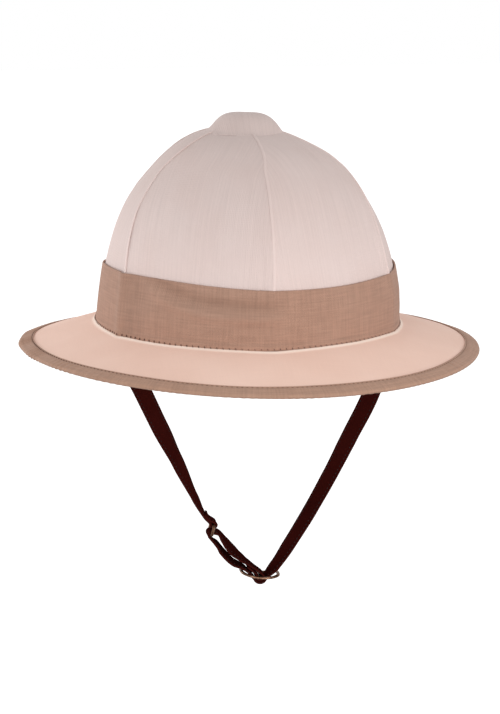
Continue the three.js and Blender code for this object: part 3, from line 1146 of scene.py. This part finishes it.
def stretched(tree, vector, across, along):
    return put(
        tree, "ShaderNodeVectorMath", {0: vector, 1: (across, along, across)}, operation="MULTIPLY"
    )


def group(name, inputs, outputs, wire):
    """A shader node group with named sockets, made once and shared."""
    tree = bpy.data.node_groups.get(name)
    if tree:
        return tree
    tree = bpy.data.node_groups.new(name, "ShaderNodeTree")
    for label, kind, default in inputs:
        socket = tree.interface.new_socket(label, in_out="INPUT", socket_type=kind)
        if default is not None:
            socket.default_value = default
    for label, kind in outputs:
        tree.interface.new_socket(label, in_out="OUTPUT", socket_type=kind)
    start = tree.nodes.new("NodeGroupInput")
    end = tree.nodes.new("NodeGroupOutput")
    for label, value in wire(tree, start.outputs).items():
        tree.links.new(value, end.inputs[label])
    return tree


def placed(tree, shared, inputs):
    """A shared group placed in a material, with its own values; gives its outputs."""
    return put(tree, "ShaderNodeGroup", inputs, node_tree=shared).node.outputs


VECTOR = "NodeSocketVector"
NUMBER = "NodeSocketFloat"


def woven_cloth():
    """Plain weave: threads over and under each other, with thick and thin ones among them."""

    def wire(tree, given):
        wobble = put(
            tree, "ShaderNodeTexNoise", {"Vector": given["Cloth"], "Scale": 140.0, "Detail": 1.0}
        )
        sway = calc(tree, "MULTIPLY", calc(tree, "SUBTRACT", wobble, 0.5), 0.9)
        turns = calc(tree, "MULTIPLY", given["Threads"], math.pi)
        parts = put(tree, "ShaderNodeSeparateXYZ", {0: given["Cloth"]}).node.outputs
        waves = []
        for part in parts[:2]:
            phase = calc(tree, "ADD", calc(tree, "MULTIPLY", part, turns), sway)
            waves.append(calc(tree, "SINE", phase))
        weave = calc(tree, "MULTIPLY_ADD", calc(tree, "MULTIPLY", *waves), 0.5, 0.5)
        slubs = []
        for across, along in ((900.0, 50.0), (50.0, 900.0)):
            vector = stretched(tree, given["Cloth"], across, along)
            slubs.append(put(tree, "ShaderNodeTexNoise", {"Vector": vector, "Scale": 1.0}))
        slub = calc(tree, "MULTIPLY", calc(tree, "ADD", *slubs), 0.5)
        height = calc(tree, "ADD", weave, calc(tree, "MULTIPLY", slub, given["Slub"]))
        return {"Height": height, "Streak": slub}

    inputs = (("Cloth", VECTOR, None), ("Threads", NUMBER, 1500.0), ("Slub", NUMBER, 1.0))
    return group("Woven cloth", inputs, (("Height", NUMBER), ("Streak", NUMBER)), wire)


def ribbed_cloth():
    """A fine rib knit: upright wales with soft streaks along them."""

    def wire(tree, given):
        parts = put(tree, "ShaderNodeSeparateXYZ", {0: given["Cloth"]}).node.outputs
        sway = put(tree, "ShaderNodeTexNoise", {"Vector": given["Cloth"], "Scale": 55.0})
        phase = calc(tree, "MULTIPLY", parts[0], calc(tree, "MULTIPLY", given["Wales"], math.pi))
        phase = calc(tree, "ADD", phase, calc(tree, "MULTIPLY", sway, 3.0))
        wale = calc(tree, "ABSOLUTE", calc(tree, "SINE", phase))
        loops = calc(tree, "SINE", calc(tree, "MULTIPLY", parts[1], 5200.0))
        fine = stretched(tree, given["Cloth"], 900.0, 24.0)
        broad = stretched(tree, given["Cloth"], 260.0, 7.0)
        streak = put(tree, "ShaderNodeTexNoise", {"Vector": fine, "Scale": 1.0, "Detail": 3.0})
        band = put(tree, "ShaderNodeTexNoise", {"Vector": broad, "Scale": 1.0, "Detail": 2.0})
        fine_part = calc(tree, "MULTIPLY", streak, 0.8)
        both = calc(tree, "ADD", fine_part, calc(tree, "MULTIPLY", band, 0.2))
        height = calc(tree, "ADD", wale, calc(tree, "MULTIPLY", loops, 0.15))
        height = calc(tree, "ADD", height, calc(tree, "MULTIPLY", both, 1.6))
        return {"Height": height, "Streak": both}

    inputs = (("Cloth", VECTOR, None), ("Wales", NUMBER, 950.0))
    return group("Ribbed cloth", inputs, (("Height", NUMBER), ("Streak", NUMBER)), wire)


def mottle():
    """Soft uneven tone over a piece, from dye, handling and age."""

    def wire(tree, given):
        noises = []
        for scale in (9.0, 34.0):
            inputs = {"Vector": given["Place"], "Scale": scale, "Detail": 3.0}
            noises.append(put(tree, "ShaderNodeTexNoise", inputs))
        tone = calc(tree, "MULTIPLY", calc(tree, "ADD", *noises), 0.5)
        return {"Tone": remap(tree, tone, 0.3, 0.7, 0.0, 1.0)}

    inputs = (("Place", VECTOR, None),)
    return group("Mottle", inputs, (("Tone", NUMBER),), wire)


def new_finish(name):
    """A material with its shader, ready for what varies over the surface."""
    material = bpy.data.materials.new(f"{name}_finish")
    material.use_nodes = True
    tree = material.node_tree
    shader = tree.nodes["Principled BSDF"]
    where = tree.nodes.new("ShaderNodeTexCoord")
    cloth = put(tree, "ShaderNodeUVMap", uv_map="Cloth")
    return material, tree, shader, where.outputs["Object"], cloth


def feed(tree, shader, **sockets):
    """Links values to the shader's sockets, their names written with underscores."""
    for name, value in sockets.items():
        plug(tree, value, shader.inputs[name.replace("_", " ")])


def solid(shade):
    return (*shade, 1.0)


def darker(shade, share):
    return solid([part * share for part in shade])


def tinted(tree, factor, base, tint):
    """A colour, multiplied by a tint as far as the factor says."""
    return mix(tree, factor, base, mix(tree, 1.0, base, solid(tint), "MULTIPLY"))


def bump(tree, height, strength, distance):
    inputs = {"Height": height, "Strength": strength, "Distance": distance}
    return put(tree, "ShaderNodeBump", inputs)


def marked(tree, name):
    return put(tree, "ShaderNodeAttribute", attribute_name=name).node.outputs["Fac"]


def knit_finish(name, shade):
    """The dome's ribbed cloth, streaked along its wales, with painted shade that darkens it toward
    the dome's top.
    """
    material, tree, shader, place, cloth = new_finish(name)
    rib = placed(tree, ribbed_cloth(), {"Cloth": cloth, "Wales": 950.0})
    tone = placed(tree, mottle(), {"Place": place})["Tone"]
    streak = remap(tree, rib["Streak"], 0.3, 0.7, 0.0, 1.0)
    base = mix(tree, streak, darker(shade, 0.92), solid(shade))
    base = tinted(tree, tone, base, (0.965, 0.93, 0.915))
    # Painted shade: the cloth is tinted darker toward the top of the dome and cap.
    height = put(tree, "ShaderNodeSeparateXYZ", {0: place}).node.outputs[2]
    top_shade = remap(tree, height, 0.045, 0.12, 0.0, 1.0)
    base = tinted(tree, top_shade, base, (0.82, 0.815, 0.81))
    normal = bump(tree, rib["Height"], 0.35, 0.25 * MM)
    feed(tree, shader, Base_Color=base, Roughness=0.9, Normal=normal, Sheen_Weight=0.12)
    feed(tree, shader, Specular_IOR_Level=0.25)
    return material


def woven_finish(name, shade, threads, slub, depth):
    """A plain-woven cloth, with the tree left open for its own marks."""
    material, tree, shader, place, cloth = new_finish(name)
    weave = placed(tree, woven_cloth(), {"Cloth": cloth, "Threads": threads, "Slub": slub})
    tone = placed(tree, mottle(), {"Place": place})["Tone"]
    streak = remap(tree, weave["Streak"], 0.35, 0.65, 0.0, 1.0)
    base = mix(tree, streak, darker(shade, 1 - 0.24 * slub), solid(shade))
    base = tinted(tree, tone, base, (0.95, 0.91, 0.89))
    normal = bump(tree, weave["Height"], 0.5, depth)
    feed(tree, shader, Base_Color=base, Roughness=0.88, Normal=normal, Sheen_Weight=0.1)
    feed(tree, shader, Specular_IOR_Level=0.25)
    return material, tree, shader, base


def leather_finish(shades):
    """Glossy dark brown leather with a fine grain and paler cut edges, and paler patches of wear
    and painted sheen.
    """
    material, tree, shader, place, cloth = new_finish("strap_leather")
    grain = put(tree, "ShaderNodeTexVoronoi", {"Vector": cloth, "Scale": 1500.0})
    crease = put(
        tree, "ShaderNodeTexNoise", {"Vector": stretched(tree, cloth, 420.0, 90.0), "Scale": 1.0}
    )
    tone = placed(tree, mottle(), {"Place": place})["Tone"]
    # Paler patches where the mottle is high: partly wear, partly painted sheen.
    sheen_and_wear = mix(tree, tone, solid(shades.leather), darker(shades.leather, 1.7))
    edge = marked(tree, "edge")
    base = mix(tree, edge, sheen_and_wear, solid(shades.leather_edge))
    height = calc(tree, "ADD", grain, crease)
    gloss = remap(tree, crease, 0.35, 0.7, 0.4, 0.55)
    gloss = calc(tree, "MAXIMUM", gloss, calc(tree, "MULTIPLY", edge, 0.8))
    normal = bump(tree, height, 0.3, 0.12 * MM)
    feed(tree, shader, Base_Color=base, Roughness=gloss, Normal=normal)
    feed(tree, shader, Specular_IOR_Level=0.0)
    return material


def brass_finish(shades):
    """Old brass: rubbed bright on its faces, with brown patina in patches."""
    material, tree, shader, place, _ = new_finish("strap_brass")
    patches = put(tree, "ShaderNodeTexNoise", {"Vector": place, "Scale": 260.0, "Detail": 4.0})
    specks = put(tree, "ShaderNodeTexNoise", {"Vector": place, "Scale": 1900.0, "Detail": 2.0})
    age = remap(tree, patches, 0.42, 0.66, 0.0, 0.75)
    base = mix(tree, age, solid(shades.brass), solid(shades.patina))
    rough_face = remap(tree, age, 0.0, 0.75, 0.26, 0.5)
    normal = bump(tree, specks, 0.12, 0.1 * MM)
    feed(tree, shader, Base_Color=base, Roughness=rough_face, Metallic=1.0, Normal=normal)
    return material


def thread_finish(name, shade):
    material, tree, shader, place, _ = new_finish(name)
    twist = put(tree, "ShaderNodeTexNoise", {"Vector": place, "Scale": 1400.0, "Detail": 2.0})
    base = mix(tree, twist, darker(shade, 0.7), darker(shade, 1.25))
    feed(tree, shader, Base_Color=base, Roughness=0.8, Normal=bump(tree, twist, 0.4, 0.1 * MM))
    return material


def finish(name):
    """The named material, made when it is first asked for."""
    found = bpy.data.materials.get(f"{name}_finish")
    if found:
        return found
    shades = bpy.context.scene.helmet_colours
    if name == "crown_cloth":
        return knit_finish(name, shades.crown)
    if name == "welt_highlight_cloth":
        # Painted highlight: the welts take the crown's cloth made paler, for the light that the
        # raised cords catch.
        return knit_finish(name, [min(part * 1.06, 1.0) for part in shades.crown])
    if name == "brim_cloth":
        material, tree, shader, base = woven_finish(name, shades.brim, 1900.0, 0.1, 0.08 * MM)
        # Painted highlight along the fold under the band.
        base = mix(tree, marked(tree, "fillet_highlight"), base, solid(shades.fillet_highlight))
        feed(tree, shader, Base_Color=base)
        return material
    if name == "band_cloth":
        material, tree, shader, base = woven_finish(name, shades.band, 1250.0, 0.9, 0.3 * MM)
        # Painted shade where the band is marked: in its folds and along its hem.
        base = tinted(tree, marked(tree, "hollow"), base, (0.8, 0.78, 0.76))
        feed(tree, shader, Base_Color=base)
        return material
    if name == "binding_cloth":
        material, tree, shader, base = woven_finish(name, shades.binding, 1250.0, 0.9, 0.3 * MM)
        # Painted shade where the tape is marked: along its stitches and under the brim's edge.
        base = tinted(tree, marked(tree, "line"), base, (0.82, 0.77, 0.74))
        feed(tree, shader, Base_Color=base)
        return material
    if name == "strap_leather":
        return leather_finish(shades)
    if name == "strap_brass":
        return brass_finish(shades)
    if name == "dark_thread":
        return thread_finish(name, shades.thread)
    if name == "strap_thread":
        return thread_finish(name, shades.strap_thread)
    raise ValueError(f"no finish is named {name}")


def direction(azimuth, elevation):
    """From the origin towards an azimuth and an elevation in degrees."""
    a, e = math.radians(azimuth), math.radians(elevation)
    return Vector((math.sin(a) * math.cos(e), -math.cos(a) * math.cos(e), math.sin(e)))


def add_camera(scene):
    """The camera of the photograph's view."""
    azimuth, elevation, roll = VIEW
    roll = math.radians(roll)
    back = direction(azimuth, elevation)
    right = (-back).cross(Vector((0, 0, 1))).normalized()
    up = right.cross(-back)
    place = right * VIEW_MIDDLE[0] - up * VIEW_MIDDLE[1] + back * VIEW_DISTANCE
    tilted_right = right * math.cos(roll) + up * math.sin(roll)
    tilted_up = up * math.cos(roll) - right * math.sin(roll)
    turn = Matrix((tilted_right, tilted_up, back)).transposed().to_4x4()
    lens = bpy.data.cameras.new("Camera")
    lens.lens = LENS
    camera = bpy.data.objects.new("Camera", lens)
    camera.matrix_world = Matrix.Translation(place) @ turn
    scene.collection.objects.link(camera)
    scene.camera = camera


def floor_paint():
    """White to the camera, pale to what it lights, and clear from below."""
    paint = bpy.data.materials.new("floor")
    paint.use_nodes = True
    tree = paint.node_tree
    shader = tree.nodes["Principled BSDF"]
    shade = solid(bpy.context.scene.helmet_colours.floor)
    seen = put(tree, "ShaderNodeLightPath").node.outputs["Is Camera Ray"]
    glow = remap(tree, seen, 0.0, 1.0, 0.2, 0.75)
    feed(tree, shader, Base_Color=shade, Roughness=0.9, Emission_Color=WHITE)
    feed(tree, shader, Emission_Strength=glow)
    below = put(tree, "ShaderNodeNewGeometry").node.outputs["Backfacing"]
    clear = put(tree, "ShaderNodeBsdfTransparent")
    one_sided = put(tree, "ShaderNodeMixShader", {0: below, 1: shader.outputs[0], 2: clear})
    tree.links.new(one_sided, tree.nodes["Material Output"].inputs["Surface"])
    return paint


def add_floor(scene):
    """A plain floor, some way below the strap."""
    mesh = bmesh.new()
    bmesh.ops.create_grid(mesh, x_segments=1, y_segments=1, size=14.0)
    bmesh.ops.translate(mesh, vec=(0, 0, -0.45), verts=mesh.verts)
    data = bpy.data.meshes.new("floor")
    mesh.to_mesh(data)
    mesh.free()
    data.materials.append(floor_paint())
    floor = bpy.data.objects.new("floor", data)
    scene.collection.objects.link(floor)


def add_sky(scene):
    """A white studio: it lights most from the horizon, less from above and least from below."""
    world = bpy.data.worlds.new("Studio")
    scene.world = world
    world.use_nodes = True
    tree = world.node_tree
    seen = put(tree, "ShaderNodeLightPath").node.outputs["Is Camera Ray"]
    where = put(tree, "ShaderNodeTexCoord")
    height = put(tree, "ShaderNodeSeparateXYZ", {0: where}).node.outputs[2]
    low = remap(tree, height, -0.6, 0.0, 0.35, 0.86)
    overhead = remap(tree, height, 0.2, 0.9, 0.0, 0.16)
    glow = calc(tree, "MAXIMUM", calc(tree, "SUBTRACT", low, overhead), seen)
    feed(tree, tree.nodes["Background"], Color=WHITE, Strength=glow)


def add_light(name, azimuth, elevation, distance, size, power):
    """A square soft box that faces the dome."""
    lamp = bpy.data.lights.new(name, "AREA")
    lamp.shape = "SQUARE"
    lamp.size = size
    lamp.energy = power
    light = bpy.data.objects.new(name, lamp)
    back = direction(azimuth, elevation)
    light.rotation_mode = "QUATERNION"
    light.rotation_quaternion = back.to_track_quat("Z", "Y")
    light.location = back * distance + Vector((0, 0, 0.03))
    bpy.context.scene.collection.objects.link(light)


class HELMET_OT_gores(bpy.types.Operator):
    """Build the six gores of the dome and the welts between them"""

    bl_idname = "helmet.gores"
    bl_label = "Gores"

    def execute(self, context):
        for index in range(len(GORES)):
            build_gore(index)
        build_welts()
        return {"FINISHED"}


class HELMET_OT_cap(bpy.types.Operator):
    """Build the low cap on the dome's apex"""

    bl_idname = "helmet.cap"
    bl_label = "Cap"

    def execute(self, context):
        build_cap()
        return {"FINISHED"}


class HELMET_OT_band(bpy.types.Operator):
    """Build the cotton band and the stitches of its hem"""

    bl_idname = "helmet.band"
    bl_label = "Band"

    def execute(self, context):
        build_band()
        build_hem_stitches()
        return {"FINISHED"}


class HELMET_OT_brim(bpy.types.Operator):
    """Build the brim board in its cloth"""

    bl_idname = "helmet.brim"
    bl_label = "Brim"

    def execute(self, context):
        build_brim()
        return {"FINISHED"}


class HELMET_OT_binding(bpy.types.Operator):
    """Build the binding of the brim's edge and its stitches"""

    bl_idname = "helmet.binding"
    bl_label = "Binding"

    def execute(self, context):
        build_binding()
        build_binding_stitches()
        return {"FINISHED"}


class HELMET_OT_chin_strap(bpy.types.Operator):
    """Build both halves of the chin strap with their stitching"""

    bl_idname = "helmet.chin_strap"
    bl_label = "Chin Strap"

    def execute(self, context):
        straps = [Strap(route) for route in strap_routes()]
        build_strap("strap_left", straps[0], "chin_strap_left")
        build_strap("strap_right", straps[1], "chin_strap_right")
        build_strap_stitches(straps)
        return {"FINISHED"}


class HELMET_OT_metal(bpy.types.Operator):
    """Build the brass ring and slider of the chin strap"""

    bl_idname = "helmet.metal"
    bl_label = "Ring and Slider"

    def execute(self, context):
        build_ring()
        build_slider()
        return {"FINISHED"}


class HELMET_OT_stage(bpy.types.Operator):
    """Set up the pale studio: floor, lights and the camera at the photograph's angle"""

    bl_idname = "helmet.stage"
    bl_label = "Studio"

    def execute(self, context):
        scene = context.scene
        scene.view_settings.view_transform = "Standard"
        add_camera(scene)
        add_floor(scene)
        add_sky(scene)
        add_light("key", -112, 2, 1.3, 0.6, 5.8)
        add_light("front", 16, 0, 1.9, 0.8, 11.5)
        return {"FINISHED"}


class HELMET_PT_build(bpy.types.Panel):
    """Lists the pieces of the helmet and their sizes and colours"""

    bl_idname = "HELMET_PT_build"
    bl_label = "Pith Helmet"
    bl_space_type = "VIEW_3D"
    bl_region_type = "UI"
    bl_category = "Helmet"

    def draw(self, context):
        for operator in OPERATORS:
            self.layout.operator(operator.bl_idname)
        for group_of in (context.scene.helmet_sizes, context.scene.helmet_colours):
            box = self.layout.box()
            for name in group_of.__annotations__:
                box.prop(group_of, name)


OPERATORS = (
    HELMET_OT_stage,
    HELMET_OT_gores,
    HELMET_OT_cap,
    HELMET_OT_brim,
    HELMET_OT_binding,
    HELMET_OT_band,
    HELMET_OT_chin_strap,
    HELMET_OT_metal,
)
CLASSES = (HelmetSizes, HelmetColours, *OPERATORS, HELMET_PT_build)


def register():
    for cls in CLASSES:
        bpy.utils.register_class(cls)
    bpy.types.Scene.helmet_sizes = PointerProperty(type=HelmetSizes)
    bpy.types.Scene.helmet_colours = PointerProperty(type=HelmetColours)


def unregister():
    del bpy.types.Scene.helmet_colours
    del bpy.types.Scene.helmet_sizes
    for cls in reversed(CLASSES):
        bpy.utils.unregister_class(cls)


def main():
    register()
    bpy.ops.helmet.stage()
    bpy.ops.helmet.gores()
    bpy.ops.helmet.cap()
    bpy.ops.helmet.brim()
    bpy.ops.helmet.binding()
    bpy.ops.helmet.band()
    bpy.ops.helmet.chin_strap()
    bpy.ops.helmet.metal()
    bpy.context.view_layer.update()


if __name__ == "__main__":
    main()
